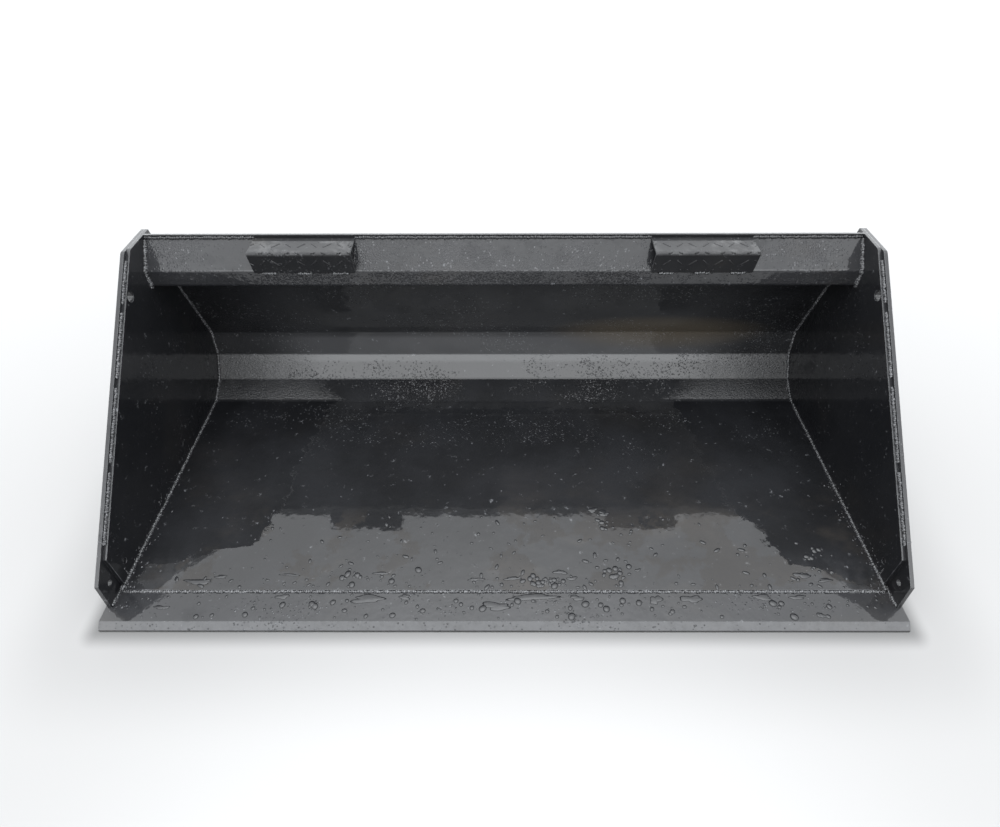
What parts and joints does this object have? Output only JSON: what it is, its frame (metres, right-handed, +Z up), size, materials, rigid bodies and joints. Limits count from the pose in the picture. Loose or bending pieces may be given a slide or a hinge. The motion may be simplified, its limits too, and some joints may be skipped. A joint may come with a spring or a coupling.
{
  "type": "skid steer bucket",
  "caption": "Welded steel skid steer bucket with a bevelled cutting edge, bent shell, sloping sides, spill guard with tread plate steps and a quick attach plate.",
  "frame": {"origin": "on the ground under the middle of the bucket's overall box", "axes": "+X across the bucket to the right seen from the open side, +Y from the cutting edge towards the loader, +Z up"},
  "size_m": [1.686, 0.936, 0.542],
  "materials": {
    "shell_paint": "gloss dark grey enamel on hot-rolled plate, wet",
    "side_paint": "gloss dark grey enamel on hot-rolled plate",
    "edge_paint": "gloss dark grey enamel on rolled flat bar, beaded with water",
    "guard_paint": "gloss dark grey enamel on bent plate",
    "tread_plate_paint": "gloss dark grey enamel on raised-bar tread plate",
    "attach_paint": "gloss dark grey enamel on flame-cut plate",
    "wear_paint": "dark grey enamel, scuffed underneath",
    "weld_paint": "dark grey enamel over a rippled weld bead"
  },
  "bodies": {
    "root": {"attach_hook": "attach_paint", "attach_ledge": "attach_paint", "attach_plate": "attach_paint", "cutter_weld_left": "weld_paint", "cutter_weld_right": "weld_paint", "cutting_edge": "edge_paint", "edge_weld": "weld_paint", "guard_weld": "weld_paint", "rib_inner_left": "attach_paint", "rib_inner_right": "attach_paint", "rib_outer_left": "attach_paint", "rib_outer_right": "attach_paint", "seam_weld_left": "weld_paint", "seam_weld_right": "weld_paint", "shell": "shell_paint", "side_cutter_left": "side_paint", "side_cutter_right": "side_paint", "side_plate_left": "side_paint", "side_plate_right": "side_paint", "side_wear_plate_left": "side_paint", "side_wear_plate_right": "side_paint", "spill_guard": "guard_paint", "step_left": "tread_plate_paint", "step_right": "tread_plate_paint", "step_weld_left": "weld_paint", "step_weld_right": "weld_paint", "wear_strip_inner_left": "wear_paint", "wear_strip_inner_right": "wear_paint", "wear_strip_outer_left": "wear_paint", "wear_strip_outer_right": "wear_paint"}
  },
  "joints": []
}
